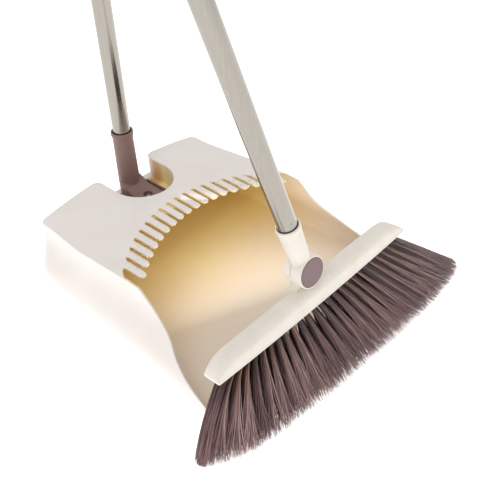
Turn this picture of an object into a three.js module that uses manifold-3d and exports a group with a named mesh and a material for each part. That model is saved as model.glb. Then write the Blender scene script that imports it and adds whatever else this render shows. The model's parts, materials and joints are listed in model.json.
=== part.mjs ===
// Long-handled dust pan with a comb edge, and its broom standing in front of the pan's mouth.
// Frame: +Z up from the floor, X across the pan, +Y from the pan's lip towards its back.
// The pieces are drawn with y = 0 a little behind the lip, and the set is then moved so that the
// origin lies on the floor under the middle of the pan's base. Units are millimetres.
import * as THREE from "three";
import { mergeVertices } from "three/addons/utils/BufferGeometryUtils.js";
import Module from "manifold-3d";

const wasm = await Module();
wasm.setup();

const FIT_GAP = 0.3; // clearance kept between pieces that touch
const SEGMENTS = 28; // facets round a full turn

// Pan
const LIP_FRONT = -14;
const PAN_BACK_TOP = 274; // the back edge of the deck
const PAN_BACK_BASE = 277;
const BASE_HALF_WIDTH = 141.5;
const BASE_TAPER = 0.036; // how fast the base narrows towards the back, per millimetre
const DECK_HALF_WIDTH = 118.5;
const DECK_REAR_NARROWING = 4.5;
const DECK_FRONT = 107; // where the side walls reach the deck
const DECK_CREST = 79.5; // height of the deck along the middle
const DECK_SIDE_DROP_FRONT = 4.5;
const DECK_SIDE_DROP_REAR = 13;
const DECK_CORNER_RADIUS = 7;
const BASE_CORNER_RADIUS = 26;
const BASE_FILLET_FRONT = 3;
const BASE_FILLET_BACK = 9;
const FLARE_START = 62; // the walls are upright above this height and flare out below it
const FLARE_END = 12;
const FLARE_HEIGHT = 75; // the deck edge's height that the flare is drawn for
const WALL = 2.4;
const DECK_THICKNESS = 3;
const LIP_THICKNESS = 1;
const LIP_TAPER_HALF = 131;
const BASE_MIDDLE = 132; // the middle of the base, where the origin is

// Comb along the front of the deck
const TEETH_EACH_SIDE = 9;
const TOOTH_PITCH = 12.17;
const TOOTH_WIDTH = 8.25;
const TIP_ARC = { radius: 160, crest: 152 };
const ROOT_ARC = { radius: 155, crest: 183.8 };

// Notch at the back of the deck, where the handle's elbow is screwed to a shelf
const NOTCH_X = 1.5;
const NOTCH_HALF_WIDTH = 35;
const NOTCH_BEND_Y = 239.5; // where its straight sides turn into the rounded front
const NOTCH_BEND = 38.5;
const NOTCH_CORNER = 9; // radius where its sides turn out to the pan's back
const SHELF_TOP = 52;
const ELBOW_Y = 260;
const ELBOW_TOP = 134;
const ELBOW_BORE_FLOOR = 97;
const FOOT_FRONT = 212;
const FOOT_TOP = 63;
const FOOT_HALF = 13.5;
const FLANGE_HALF = 26;
const FLANGE_FRONT = 218.5;
const SCREW_Y = 229;

// Handles
const PAN_TUBE_RADIUS = 9.6;
const BROOM_TUBE_RADIUS = 8.8;
const TUBE_WALL = 0.8;
const GRIP_LENGTH = 112;
const PAN_SEAM = 430; // height of the joint between the two tubes
const PAN_TUBE_TOP = 792;
const CLIP_HEIGHT = 560;
const BROOM_SEAM = 395; // along the broom's own handle, from the hub
const BROOM_TUBE_TOP = 715;
const SCREW_SHANK = 1.6;

// Broom: its frame is turned about the hub, with the handle along local +Z and its back along +Y
const HUB_CENTRE = new THREE.Vector3(-34.8, -26.4, 121.4);
const BROOM_LEAN_BACK = THREE.MathUtils.degToRad(-9.28);
const BROOM_LEAN_SIDE = THREE.MathUtils.degToRad(-13.73);
const BROOM_YAW = THREE.MathUtils.degToRad(-2.8);
const HEAD_SWING = THREE.MathUtils.degToRad(10.2); // the head's turn on the hub at rest
const HUB_RADIUS = 15.6;
const HUB_FRONT = -9.9;
const HUB_BACK = 2.6;
const EAR_FRONT = 3.3;
const CAP_RADIUS = 14;
const CAP_SEAT = -7.9;
const WASHER_SEAT = -3.6;
const PIVOT_SHANK = 1.7;
const SOCKET_TOP = 53;
const SOCKET_FLOOR = 30;
const HEAD_FRONT = -8.6;
const HEAD_BACK = 10.6;
const HEAD_TOP = -21.5;
const HEAD_X = 4.3; // the bar's middle, beside the hub
const HEAD_HALF_LENGTH = 125;
const HEAD_END_BOTTOM = -37;
const HEAD_BOTTOM_ARCH = 2.4;
const BOARD_HALF = 117;
const BOARD_TOP = -30;
const ROOT_HALF_X = 116.5;
const ROOT_HALF_Y = 6.5;
const ROOT_HEIGHT = -39.8;
const TIP_HALF_X = 187;
const TIP_HALF_Y = 27;
const TIP_SHIFT_X = 34; // the fan sweeps further to the right
const TIP_CLEARANCE = 1.2; // bristle tips above the floor

const cream = { color: 0xe9e3da, roughness: 0.42, metalness: 0 };
const mauve = { color: 0x8c7475, roughness: 0.5, metalness: 0 };
const steel = { color: 0xb8b4ab, roughness: 0.22, metalness: 1 };
const bristle = { color: 0x6b5355, roughness: 0.7, metalness: 0 };

// ---------- geometry helpers ----------

function signedVolume(geometry) {
  const position = geometry.getAttribute("position");
  const index = geometry.getIndex();
  const [a, b, c] = [new THREE.Vector3(), new THREE.Vector3(), new THREE.Vector3()];
  let sum = 0;
  for (let i = 0; i < index.count; i += 3) {
    a.fromBufferAttribute(position, index.getX(i));
    b.fromBufferAttribute(position, index.getX(i + 1));
    c.fromBufferAttribute(position, index.getX(i + 2));
    sum += a.dot(b.cross(c)) / 6;
  }
  return sum;
}

// Merges shared vertices, drops collapsed triangles and turns every face outwards.
function closedGeometry(source) {
  const bare = new THREE.BufferGeometry();
  bare.setAttribute("position", source.getAttribute("position").clone());
  if (source.getIndex()) bare.setIndex(source.getIndex().clone());
  const merged = mergeVertices(bare, 1e-4);
  const old = merged.getIndex().array;
  const kept = [];
  for (let i = 0; i < old.length; i += 3) {
    const [a, b, c] = [old[i], old[i + 1], old[i + 2]];
    if (a !== b && b !== c && c !== a) kept.push(a, b, c);
  }
  merged.setIndex(kept);
  if (signedVolume(merged) < 0) {
    for (let i = 0; i < kept.length; i += 3) {
      [kept[i + 1], kept[i + 2]] = [kept[i + 2], kept[i + 1]];
    }
    merged.setIndex(kept);
  }
  return merged;
}

function toSolid(geometry) {
  const closed = closedGeometry(geometry);
  const vertProperties = new Float32Array(closed.getAttribute("position").array);
  const triVerts = new Uint32Array(closed.getIndex().array);
  return new wasm.Manifold(new wasm.Mesh({ numProp: 3, vertProperties, triVerts }));
}

function fromSolid(solid) {
  const mesh = solid.getMesh();
  const geometry = new THREE.BufferGeometry();
  geometry.setAttribute("position", new THREE.BufferAttribute(mesh.vertProperties, 3));
  geometry.setIndex(new THREE.BufferAttribute(mesh.triVerts, 1));
  return geometry;
}

function piece(name, solid, look, parent) {
  const geometry = fromSolid(solid);
  geometry.computeVertexNormals();
  const mesh = new THREE.Mesh(geometry, new THREE.MeshStandardMaterial(look));
  mesh.name = name;
  parent.add(mesh);
  return mesh;
}

function smooth(value) {
  const t = THREE.MathUtils.clamp(value, 0, 1);
  return t * t * (3 - 2 * t);
}

// A closed body through rings of equal length, capped at both ends by fans.
function loft(rings) {
  const count = rings[0].length;
  const positions = rings.flat().flatMap((p) => [p.x, p.y, p.z]);
  const triangles = [];
  for (let r = 0; r + 1 < rings.length; r += 1) {
    for (let i = 0; i < count; i += 1) {
      const a = r * count + i;
      const b = r * count + ((i + 1) % count);
      triangles.push(a, b, a + count, b, b + count, a + count);
    }
  }
  for (const [ring, last] of [[rings[0], false], [rings[rings.length - 1], true]]) {
    const start = last ? (rings.length - 1) * count : 0;
    const centre = positions.length / 3;
    const middle = ring.reduce((sum, p) => sum.add(p), new THREE.Vector3()).divideScalar(count);
    positions.push(middle.x, middle.y, middle.z);
    for (let i = 0; i < count; i += 1) {
      const a = start + i;
      const b = start + ((i + 1) % count);
      if (last) triangles.push(a, b, centre);
      else triangles.push(b, a, centre);
    }
  }
  const geometry = new THREE.BufferGeometry();
  geometry.setAttribute("position", new THREE.Float32BufferAttribute(positions, 3));
  geometry.setIndex(triangles);
  return geometry;
}

// A profile of [radius, height] pairs turned about the Z axis.
function revolve(profile, segments = SEGMENTS) {
  const points = profile.map(([r, z]) => new THREE.Vector2(r, z));
  return new THREE.LatheGeometry(points, segments).rotateX(Math.PI / 2);
}

function rod(radius, low, high, segments = SEGMENTS) {
  return toSolid(revolve([[0, low], [radius, low], [radius, high], [0, high]], segments));
}

// The same, lying along the Y axis.
function rodAlongY(radius, low, high, segments = SEGMENTS) {
  const lathe = revolve([[0, -high], [radius, -high], [radius, -low], [0, -low]], segments);
  return toSolid(lathe.rotateX(Math.PI / 2));
}

function box(low, high) {
  const size = high.map((v, i) => v - low[i]);
  const centre = high.map((v, i) => (v + low[i]) / 2);
  return toSolid(new THREE.BoxGeometry(...size).translate(...centre));
}

// A flat outline of [x, y] pairs raised from one height to another.
function prism(outline, low, high) {
  const shape = new THREE.Shape(outline.map(([x, y]) => new THREE.Vector2(x, y)));
  const options = { depth: high - low, bevelEnabled: false };
  return new THREE.ExtrudeGeometry(shape, options).translate(0, 0, low);
}

// An outline of [x, z] pairs extruded from one y to another.
function prismAlongY(outline, low, high) {
  const swapYZ = new THREE.Matrix4().set(1, 0, 0, 0, 0, 0, 1, 0, 0, 1, 0, 0, 0, 0, 0, 1);
  return toSolid(prism(outline, low, high).applyMatrix4(swapYZ));
}

// An outline of [y, z] pairs extruded from one x to another.
function prismAlongX(outline, low, high) {
  const turnAxes = new THREE.Matrix4().set(0, 0, 1, 0, 1, 0, 0, 0, 0, 1, 0, 0, 0, 0, 0, 1);
  return toSolid(prism(outline, low, high).applyMatrix4(turnAxes));
}

function arcPoints(cx, cy, rx, ry, from, to, steps) {
  return Array.from({ length: steps + 1 }, (_, i) => {
    const angle = THREE.MathUtils.degToRad(from + ((to - from) * i) / steps);
    return [cx + rx * Math.cos(angle), cy + ry * Math.sin(angle)];
  });
}

// ---------- pan ----------

function deckHeight(x, y) {
  const back = smooth((y - DECK_FRONT) / 150);
  const drop = DECK_SIDE_DROP_FRONT + (DECK_SIDE_DROP_REAR - DECK_SIDE_DROP_FRONT) * back;
  return DECK_CREST - drop * (x / DECK_HALF_WIDTH) ** 2;
}

// How far the wall leans out at a height: 1 at the base, 0 at the deck's edge.
function leanOut(y, z) {
  const level = (z * FLARE_HEIGHT) / deckHeight(DECK_HALF_WIDTH, y);
  const flare = smooth((level - FLARE_END) / (FLARE_START - FLARE_END));
  return 1 - 0.93 * flare - 0.07 * THREE.MathUtils.clamp(level / FLARE_HEIGHT, 0, 1);
}

function sideX(y, z) {
  const top = DECK_HALF_WIDTH - DECK_REAR_NARROWING * smooth((y - 190) / 70);
  const base = BASE_HALF_WIDTH - BASE_TAPER * y;
  return top + (base - top) * leanOut(y, z);
}

// The pan's outline at one level, reaching forward to frontY. The level gives a height and an
// inset for each y.
function panRing(level, frontY) {
  const atBack = level(PAN_BACK_TOP);
  const lean = leanOut(PAN_BACK_TOP, atBack.z);
  const back = PAN_BACK_TOP + (PAN_BACK_BASE - PAN_BACK_TOP) * lean - atBack.inset;
  const fullRadius = DECK_CORNER_RADIUS + (BASE_CORNER_RADIUS - DECK_CORNER_RADIUS) * lean;
  const radius = fullRadius - atBack.inset;
  const cornerY = back - radius;
  const half = [frontY, 30, 60, 90, 120, 155, 190, 220].map((y) => {
    const { z, inset } = level(y);
    return [sideX(y, z) - inset, y, z];
  });
  const cornerX = sideX(cornerY, atBack.z) - atBack.inset - radius;
  const corner = arcPoints(cornerX, cornerY, radius, radius, 0, 90, 6);
  half.push(...corner.map(([x, y]) => [x, y, atBack.z]), [cornerX / 2, back, atBack.z]);
  const mirrored = half.map(([x, y, z]) => [-x, y, z]).reverse();
  const ring = [...half, [0, back, atBack.z], ...mirrored, [0, frontY, level(frontY).z]];
  return ring.map((p) => new THREE.Vector3(...p));
}

function panHull(inset, floor, frontY) {
  const rings = [];
  for (const angle of [0, 25, 50, 90]) {
    const a = THREE.MathUtils.degToRad(angle);
    const level = (y) => {
      const share = smooth(y / 230);
      const fillet = BASE_FILLET_FRONT + (BASE_FILLET_BACK - BASE_FILLET_FRONT) * share - inset;
      return { z: floor + fillet * (1 - Math.cos(a)), inset: inset + fillet * (1 - Math.sin(a)) };
    };
    rings.push(panRing(level, frontY));
  }
  for (const z of [12, 17, 23, 29, 35, 41, 47, 53, 59, 66, 84]) {
    rings.push(panRing(() => ({ z, inset }), frontY));
  }
  return toSolid(loft(rings));
}

// Everything under the crowned deck, lowered by a drop.
function underDeck(drop) {
  const slab = new THREE.BoxGeometry(320, 340, 2, 20, 12, 1).translate(0, 130, 0);
  const position = slab.getAttribute("position");
  for (let i = 0; i < position.count; i += 1) {
    const top = position.getZ(i) > 0;
    const height = deckHeight(position.getX(i), position.getY(i)) - drop;
    position.setZ(i, top ? height : -5);
  }
  return toSolid(slab);
}

function arcY(arc, x) {
  return arc.crest - arc.radius + Math.sqrt(arc.radius ** 2 - x ** 2);
}

// The mouth's outline in the deck: the comb's teeth stand into it from the root arc.
function combOutline() {
  const half = TOOTH_WIDTH / 2;
  const leftSide = [[-116.2, 40], [-116.2, 127], [-114.8, 132.6], [-112.4, 136.5], [-110.4, 139.2]];
  const points = [...leftSide];
  for (let i = -TEETH_EACH_SIDE; i < TEETH_EACH_SIDE; i += 1) {
    const x = (i + 0.5) * TOOTH_PITCH;
    points.push([x - half, arcY(ROOT_ARC, x - half)]);
    points.push(...arcPoints(x, arcY(TIP_ARC, x) + half, half, half, 180, 360, 6));
    points.push([x + half, arcY(ROOT_ARC, x + half)]);
  }
  points.push(...leftSide.map(([x, y]) => [-x, y]).reverse());
  return points;
}

// The front edge of the side walls, an S from the lip's corner up to the deck.
function wallFrontEdge() {
  const knots = [[LIP_FRONT, 1.4], [0, 8.3], [12, 14.4], [25, 20.7], [36, 26.4], [47, 33.1],
    [58, 42], [68, 48.4], [77, 53.4], [86, 59], [96, 66.8], [DECK_FRONT, 75.6]];
  const curve = new THREE.CatmullRomCurve3(knots.map(([y, z]) => new THREE.Vector3(0, y, z)));
  return curve.getPoints(24).map((p) => [p.y, p.z]);
}

function notchOutline(grow) {
  const half = NOTCH_HALF_WIDTH + grow;
  const round = arcPoints(NOTCH_X, NOTCH_BEND_Y, half, NOTCH_BEND + grow, 180, 360, 16);
  const reach = NOTCH_HALF_WIDTH + NOTCH_CORNER;
  const radius = NOTCH_CORNER - grow;
  const corner = [[reach, 300], ...arcPoints(reach, PAN_BACK_TOP - NOTCH_CORNER, radius, radius, 90, 180, 6)];
  const left = corner.map(([x, y]) => [NOTCH_X - x, y]);
  const right = corner.map(([x, y]) => [NOTCH_X + x, y]).reverse();
  return [...left, ...round, ...right];
}

function screwBoss() {
  const boss = rod(5, SHELF_TOP - 14, SHELF_TOP - 1).translate([0, SCREW_Y, 0]);
  return boss.add(box([-1, SCREW_Y, SHELF_TOP - 12], [1, 255, SHELF_TOP - 1]));
}

function panBody() {
  const hull = panHull(0, 0, LIP_FRONT).intersect(underDeck(0));
  const hollow = panHull(WALL, WALL, -60).intersect(underDeck(DECK_THICKNESS));
  const recess = toSolid(prism(notchOutline(WALL), SHELF_TOP - WALL, 100)).intersect(hull);
  const frontCut = [[-60, 1.4], ...wallFrontEdge(), [DECK_FRONT, 140], [-60, 140]];
  const overLip = WALL + 2;
  const taperEnd = LIP_FRONT + 26;
  const lipTaper = [[-60, LIP_THICKNESS], [LIP_FRONT, LIP_THICKNESS], [taperEnd, WALL],
    [taperEnd, overLip], [-60, overLip]];
  const screwHole = rod(SCREW_SHANK + FIT_GAP, SHELF_TOP - 20, SHELF_TOP + 1, 16)
    .translate([0, SCREW_Y, 0]);
  return hull
    .subtract(hollow)
    .add(recess)
    .add(screwBoss())
    .subtract(toSolid(prism(notchOutline(0), SHELF_TOP, 140)))
    .subtract(screwHole)
    .subtract(prismAlongX(frontCut, -200, 200))
    .subtract(prismAlongX(lipTaper, -LIP_TAPER_HALF, LIP_TAPER_HALF))
    .subtract(toSolid(prism(combOutline(), 66, 140)));
}

// ---------- elbow and its screw ----------

function elbowBracket() {
  const low = SHELF_TOP + FIT_GAP;
  const bore = PAN_TUBE_RADIUS + 0.45;
  const profile = [[0, low], [12, low], [12, 70], [11.4, ELBOW_TOP - 8], [12.2, ELBOW_TOP - 6],
    [12.2, ELBOW_TOP - 1], [11.6, ELBOW_TOP], [0, ELBOW_TOP]];
  const upright = toSolid(revolve(profile)).translate([0, ELBOW_Y, 0]);
  const footTop = [[FOOT_FRONT + 2.5, FOOT_TOP], [238, FOOT_TOP], [244, 64.5], [249, 68], [260, 71]];
  const heelCut = [[261, low - 2], [264, 56], [268, 64], [272, 76], [290, 76], [290, low - 2]];
  const footSide = [[FOOT_FRONT, low], [260, low], ...footTop.reverse(), [FOOT_FRONT, 60.5]];
  const foot = prismAlongX(footSide, -FOOT_HALF, FOOT_HALF);
  const flange = box([-17, FOOT_FRONT, low], [17, 262, low + 4])
    .add(box([-FLANGE_HALF, FLANGE_FRONT, low], [FLANGE_HALF, 261, low + 4]));
  const studBore = rod(6.6, 78, ELBOW_BORE_FLOOR + 1, 18);
  const tubeBore = rod(bore, ELBOW_BORE_FLOOR, ELBOW_TOP + 5).add(studBore);
  const screwHole = rod(SCREW_SHANK + 0.4, low - 3, FOOT_TOP, 16);
  const screwWell = rod(5.3, FOOT_TOP - 4, FOOT_TOP + 8).add(screwHole);
  return upright
    .add(foot)
    .add(flange)
    .subtract(prismAlongX(heelCut, -30, 30))
    .subtract(tubeBore.translate([0, ELBOW_Y, 0]))
    .subtract(screwWell.translate([0, SCREW_Y, 0]));
}

// A pan-head screw with a cross recess, its head's underside at one height and its point at another.
function crossScrew(headRadius, headHeight, shank, seat, point) {
  const body = revolve([[0, point], [shank * 0.5, point], [shank, point + 2], [shank, seat],
    [headRadius, seat], [headRadius, seat + headHeight * 0.5], [headRadius * 0.6, seat + headHeight],
    [0, seat + headHeight]], 20);
  const top = seat + headHeight;
  const slot = box([-headRadius * 0.6, -0.45, top - 1], [headRadius * 0.6, 0.45, top + 1]);
  return toSolid(body).subtract(slot).subtract(slot.rotate([0, 0, 90]));
}

// ---------- handles ----------

// A plug pressed into a tube's end, with a stud that screws into the piece below.
function threadPlug(tubeRadius, studRadius, studEnd, shoulder) {
  const bore = tubeRadius - TUBE_WALL - FIT_GAP;
  const collar = shoulder + 1.2;
  return toSolid(revolve([[0, studEnd], [studRadius - 0.8, studEnd], [studRadius, studEnd + 1.5],
    [studRadius, shoulder], [tubeRadius, shoulder], [tubeRadius, collar], [bore, collar],
    [bore, collar + 20], [0, collar + 20]], 22));
}

function tube(radius, low, high) {
  const inner = radius - TUBE_WALL;
  return toSolid(revolve([[inner, low], [radius, low], [radius, high], [inner, high], [inner, low]]));
}

// The double spigot that joins two lengths of tube, with a thin collar between them.
function tubeJoiner(radius, seam) {
  const bore = radius - TUBE_WALL - FIT_GAP;
  return toSolid(revolve([[0, seam - 24], [bore, seam - 24], [bore, seam], [radius + 0.3, seam],
    [radius + 0.3, seam + 3], [bore, seam + 3], [bore, seam + 27], [0, seam + 27]], 22));
}

// A sleeve over the tube's end, closed on top and ending in a flat eye to hang the piece by.
function grip(tubeRadius, tubeTop) {
  const low = tubeTop - GRIP_LENGTH + 12;
  const top = tubeTop + 10;
  const wide = tubeRadius + 3.1;
  const sleeve = toSolid(revolve([[0, low], [wide - 1.4, low], [wide - 0.4, low + 3], [wide, low + 30],
    [wide - 0.5, low + 62], [wide, low + 92], [wide - 0.6, top - 6], [wide - 3, top - 1.5], [0, top]]));
  const eyeOutline = [[-11, top - 8], [11, top - 8], ...arcPoints(0, top + 11, 11, 11, 0, 180, 10)];
  const eyeHole = arcPoints(0, top + 10.5, 6, 6, 0, 360, 14).slice(0, -1);
  return sleeve
    .add(prismAlongY(eyeOutline, -3.5, 3.5))
    .subtract(prismAlongY(eyeHole, -10, 10))
    .subtract(rod(tubeRadius + FIT_GAP, low - 1, tubeTop + FIT_GAP));
}

// A ring round the pan's tube with an open C in front that snaps over the broom's tube.
function broomClip() {
  const low = CLIP_HEIGHT;
  const high = CLIP_HEIGHT + 22;
  const jawY = -(PAN_TUBE_RADIUS + BROOM_TUBE_RADIUS + 6.5);
  const jaw = rod(BROOM_TUBE_RADIUS + 2.9, low, high).translate([0, jawY, 0]);
  const jawHole = rod(BROOM_TUBE_RADIUS + 0.2, low - 1, high + 1).translate([0, jawY, 0]);
  const flare = [[-6.2, jawY - 3], [-9, jawY - 20], [9, jawY - 20], [6.2, jawY - 3]];
  const mouth = toSolid(prism(flare, low - 1, high + 1));
  return rod(PAN_TUBE_RADIUS + 2.8, low, high)
    .add(box([-5, jawY + 5, low], [5, 0, high]))
    .add(jaw)
    .subtract(rod(PAN_TUBE_RADIUS + FIT_GAP, low - 1, high + 1))
    .subtract(jawHole)
    .subtract(mouth);
}

// ---------- broom socket and pivot ----------

function broomSocket() {
  const bore = BROOM_TUBE_RADIUS + 0.4;
  const cone = revolve([[0, 0], [9.4, 0], [9.4, 14], [10.6, SOCKET_TOP - 4], [11.1, SOCKET_TOP - 3],
    [11.1, SOCKET_TOP - 0.8], [10.4, SOCKET_TOP], [0, SOCKET_TOP]]);
  const hub = rodAlongY(HUB_RADIUS, HUB_FRONT, HUB_BACK, 36);
  return toSolid(cone)
    .subtract(rodAlongY(HUB_RADIUS + 0.7, HUB_BACK, 30, 36))
    .add(hub)
    .subtract(rod(bore, SOCKET_FLOOR, SOCKET_TOP + 5))
    .subtract(rod(5.4, SOCKET_FLOOR - 12, SOCKET_FLOOR + 1, 18))
    .subtract(rodAlongY(CAP_RADIUS + FIT_GAP, HUB_FRONT - 5, CAP_SEAT, 36))
    .subtract(rodAlongY(5.4, CAP_SEAT - 1, WASHER_SEAT, 20))
    .subtract(rodAlongY(PIVOT_SHANK + 0.4, WASHER_SEAT - 1, 20, 18));
}

function hubCap() {
  const back = CAP_SEAT - FIT_GAP;
  const dome = revolve([[0, 0], [CAP_RADIUS, 0], [CAP_RADIUS, 1.5], [CAP_RADIUS - 0.8, 1.9], [0, 2.3]], 36);
  return toSolid(dome.rotateX(Math.PI / 2).translate(0, back, 0));
}

function pivotWasher() {
  const front = WASHER_SEAT - FIT_GAP - 0.8;
  const hole = rodAlongY(PIVOT_SHANK + 0.4, front - 1, front + 2, 18);
  return rodAlongY(4.7, front, front + 0.8, 20).subtract(hole);
}

function pivotScrew() {
  const seat = WASHER_SEAT - FIT_GAP - 0.8 - FIT_GAP;
  const screw = crossScrew(4.2, 2.4, PIVOT_SHANK, -seat, -9);
  return screw.rotate([90, 0, 0]);
}

// ---------- broom head ----------

function headBottom(x) {
  return HEAD_END_BOTTOM - HEAD_BOTTOM_ARCH * (1 - ((x - HEAD_X) / HEAD_HALF_LENGTH) ** 2);
}

function bottomPoints(half, lift, steps) {
  return Array.from({ length: steps + 1 }, (_, i) => {
    const x = HEAD_X - half + (2 * half * i) / steps;
    return [x, headBottom(x) + lift];
  });
}

function headCover() {
  const endTop = [[0.3, 12], [3, 8], [9, 4.1], [16, 1.4], [25, 0.2], [34, 0]];
  const end = HEAD_HALF_LENGTH;
  const rightTop = endTop.map(([inward, down]) => [HEAD_X + end - inward, HEAD_TOP - down]);
  const leftTop = endTop.map(([inward, down]) => [HEAD_X - end + inward, HEAD_TOP - down]).reverse();
  const bar = prismAlongY([...bottomPoints(end, 0, 12), ...rightTop, ...leftTop], HEAD_FRONT, HEAD_BACK);
  const neckRight = [[10.6, -23], [9.8, -15.3], [12.6, -8.6], [14, 0]];
  const neck = [...neckRight.map(([x, z]) => [-x, z]).reverse(), ...neckRight];
  const slotLow = [HEAD_X - BOARD_HALF, HEAD_FRONT + 2.2, -60];
  const slot = box(slotLow, [HEAD_X + BOARD_HALF, HEAD_BACK - 2.2, BOARD_TOP]);
  return bar
    .add(rodAlongY(15.2, EAR_FRONT, HEAD_BACK, 36))
    .add(prismAlongY(neck, EAR_FRONT, HEAD_BACK))
    .subtract(rodAlongY(PIVOT_SHANK + FIT_GAP, EAR_FRONT - 1, 9.3, 18))
    .subtract(slot);
}

function tuftBoard() {
  const half = BOARD_HALF - FIT_GAP;
  const top = BOARD_TOP - FIT_GAP;
  const outline = [...bottomPoints(half, 0.2, 12), [HEAD_X + half, top], [HEAD_X - half, top]];
  return prismAlongY(outline, HEAD_FRONT + 2.2 + FIT_GAP, HEAD_BACK - 2.2 - FIT_GAP);
}

// Point on a superellipse: exponent 2 is an ellipse, higher ones are boxier.
function superellipse(halfX, halfY, exponent, angle) {
  const bend = (v) => Math.sign(v) * Math.abs(v) ** (2 / exponent);
  return [halfX * bend(Math.cos(angle)), halfY * bend(Math.sin(angle))];
}

// The tufts as one soft body, fanning from the board to a lens of tips just above the floor.
function bristleFan(headFrame) {
  const e = headFrame.elements;
  const tipHeight = (x, y) => (TIP_CLEARANCE - e[14] - e[2] * x - e[6] * y) / e[10];
  const rings = [1, 0.8, 0.55, 0.3, 0.12, 0].map((t) => {
    return Array.from({ length: 36 }, (_, i) => {
      const angle = (2 * Math.PI * i) / 36;
      const spread = t ** (0.8 + 0.25 * Math.cos(angle));
      const [rootX, rootY] = superellipse(ROOT_HALF_X, ROOT_HALF_Y, 8, angle);
      const [tipX, tipY] = superellipse(TIP_HALF_X, TIP_HALF_Y, 2.4, angle);
      const x = THREE.MathUtils.lerp(rootX + HEAD_X, tipX + TIP_SHIFT_X, spread);
      const y = THREE.MathUtils.lerp(rootY + 1, tipY - 2, t);
      const z = THREE.MathUtils.lerp(ROOT_HEIGHT, tipHeight(tipX + TIP_SHIFT_X, tipY - 2), t);
      return new THREE.Vector3(x, y, z);
    });
  });
  return toSolid(loft(rings));
}

// ---------- assembly ----------

function buildPan(parent) {
  piece("pan_body", panBody(), cream, parent);
  piece("elbow_bracket", elbowBracket(), mauve, parent);
  const screwSolid = crossScrew(3.6, 2.4, SCREW_SHANK, FOOT_TOP - 3.7, SHELF_TOP - 11);
  const screw = piece("elbow_screw", screwSolid, steel, parent);
  screw.position.set(0, SCREW_Y, 0);
  const handle = new THREE.Group();
  handle.position.set(0, ELBOW_Y, 0);
  parent.add(handle);
  const shoulder = ELBOW_BORE_FLOOR + FIT_GAP;
  piece("pan_thread_plug", threadPlug(PAN_TUBE_RADIUS, 6.2, 79, shoulder), mauve, handle);
  piece("pan_lower_tube", tube(PAN_TUBE_RADIUS, shoulder + 1.5, PAN_SEAM - FIT_GAP), steel, handle);
  piece("pan_tube_joiner", tubeJoiner(PAN_TUBE_RADIUS, PAN_SEAM), mauve, handle);
  piece("pan_upper_tube", tube(PAN_TUBE_RADIUS, PAN_SEAM + 3 + FIT_GAP, PAN_TUBE_TOP), steel, handle);
  piece("broom_clip", broomClip(), mauve, handle);
  piece("pan_grip", grip(PAN_TUBE_RADIUS, PAN_TUBE_TOP), mauve, handle);
}

function buildBroomHandle(parent) {
  piece("broom_socket", broomSocket(), cream, parent);
  piece("hub_cap", hubCap(), mauve, parent);
  piece("pivot_washer", pivotWasher(), steel, parent);
  const shoulder = SOCKET_FLOOR + FIT_GAP;
  piece("broom_thread_plug", threadPlug(BROOM_TUBE_RADIUS, 5, SOCKET_FLOOR - 11, shoulder), mauve, parent);
  piece("broom_lower_tube", tube(BROOM_TUBE_RADIUS, shoulder + 1.5, BROOM_SEAM - FIT_GAP), steel, parent);
  piece("broom_tube_joiner", tubeJoiner(BROOM_TUBE_RADIUS, BROOM_SEAM), mauve, parent);
  const upperStart = BROOM_SEAM + 3 + FIT_GAP;
  piece("broom_upper_tube", tube(BROOM_TUBE_RADIUS, upperStart, BROOM_TUBE_TOP), steel, parent);
  piece("broom_grip", grip(BROOM_TUBE_RADIUS, BROOM_TUBE_TOP), mauve, parent);
}

function buildBroomHead(parent) {
  piece("head_cover", headCover(), cream, parent);
  piece("pivot_screw", pivotScrew(), steel, parent);
  piece("tuft_board", tuftBoard(), cream, parent);
  piece("bristles", bristleFan(parent.matrixWorld), bristle, parent);
}

function buildSet() {
  const root = new THREE.Group();
  const set = new THREE.Group();
  set.position.y = -BASE_MIDDLE;
  root.add(set);
  const broom = new THREE.Group();
  broom.position.copy(HUB_CENTRE);
  broom.rotation.set(BROOM_LEAN_BACK, BROOM_LEAN_SIDE, BROOM_YAW, "ZXY");
  const head = new THREE.Group();
  head.rotation.y = HEAD_SWING;
  broom.add(head);
  set.add(broom);
  root.updateMatrixWorld(true);
  buildPan(set);
  buildBroomHandle(broom);
  buildBroomHead(head);
  return root;
}

export default buildSet();
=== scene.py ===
"""Looks of a long-handled dust pan and the broom in front of it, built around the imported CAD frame."""

import json
import math
import random

import bmesh
import bpy
import numpy as np
from mathutils import Matrix, Vector
from mathutils.geometry import delaunay_2d_cdt


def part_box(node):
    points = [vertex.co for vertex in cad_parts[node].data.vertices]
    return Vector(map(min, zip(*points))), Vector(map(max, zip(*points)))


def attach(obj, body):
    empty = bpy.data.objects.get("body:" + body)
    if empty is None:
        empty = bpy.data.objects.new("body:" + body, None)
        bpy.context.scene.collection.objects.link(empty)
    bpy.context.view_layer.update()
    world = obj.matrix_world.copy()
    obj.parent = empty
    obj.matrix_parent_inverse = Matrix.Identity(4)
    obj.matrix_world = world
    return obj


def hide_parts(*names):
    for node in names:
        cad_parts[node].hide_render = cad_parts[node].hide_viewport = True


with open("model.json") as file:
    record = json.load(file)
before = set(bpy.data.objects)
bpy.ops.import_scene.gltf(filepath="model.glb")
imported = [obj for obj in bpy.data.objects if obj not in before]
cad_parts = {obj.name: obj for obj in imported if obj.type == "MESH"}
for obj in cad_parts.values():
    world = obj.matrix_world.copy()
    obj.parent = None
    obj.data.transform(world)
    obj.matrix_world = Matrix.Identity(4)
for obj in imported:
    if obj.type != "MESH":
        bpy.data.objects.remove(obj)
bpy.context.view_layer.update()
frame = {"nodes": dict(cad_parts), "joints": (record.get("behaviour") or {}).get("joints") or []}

MM = 0.001
scene = bpy.context.scene

# ---------- frames, in millimetres ----------

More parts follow.
